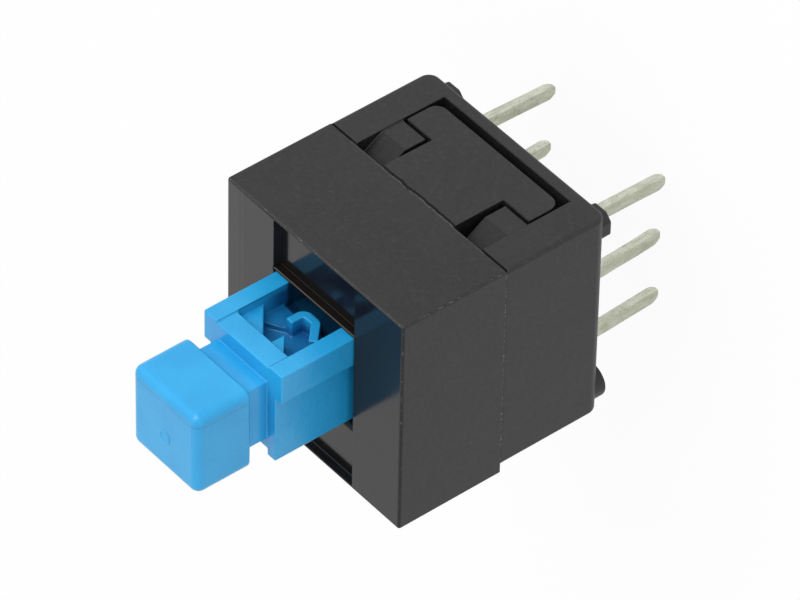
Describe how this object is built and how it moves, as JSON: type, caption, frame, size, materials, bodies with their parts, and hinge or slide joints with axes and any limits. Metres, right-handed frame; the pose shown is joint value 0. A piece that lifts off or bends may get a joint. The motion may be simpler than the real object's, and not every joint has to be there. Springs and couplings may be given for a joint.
{
  "type": "momentary push switch",
  "caption": "Square-bodied momentary push switch with a blue plunger, a black clipped cover and solder pins, made to stand upright on a circuit board.",
  "frame": {"origin": "centre of the pin pattern, on the plane where the standoff feet meet the board", "axes": "+Z out of the board along the plunger, +X towards the plunger's open cam pocket, +Y across the two rows of pins"},
  "size_m": [0.0085, 0.0086, 0.0174],
  "materials": {
    "black_plastic": "satin",
    "blue_plastic": "satin",
    "tinned_metal": "satin",
    "spring_steel": "satin",
    "contact_metal": "satin"
  },
  "bodies": {
    "housing": {"front_cover": "black_plastic", "contact_base": "black_plastic", "return_spring": "spring_steel", "left_closed_terminal": "tinned_metal", "left_common_terminal": "tinned_metal", "left_open_terminal": "tinned_metal", "right_closed_terminal": "tinned_metal", "right_common_terminal": "tinned_metal", "right_open_terminal": "tinned_metal"},
    "plunger": {"plunger": "blue_plastic", "left_moving_contact": "contact_metal", "right_moving_contact": "contact_metal"}
  },
  "joints": [
    {"name": "plunger_press", "type": "slide", "parent": "housing", "child": "plunger", "axis": [0, 0, -1], "range_m": [0, 0.0025], "stiffness_N_per_m": 400, "springref_m": -0.002, "deforming": ["return_spring"]}
  ]
}
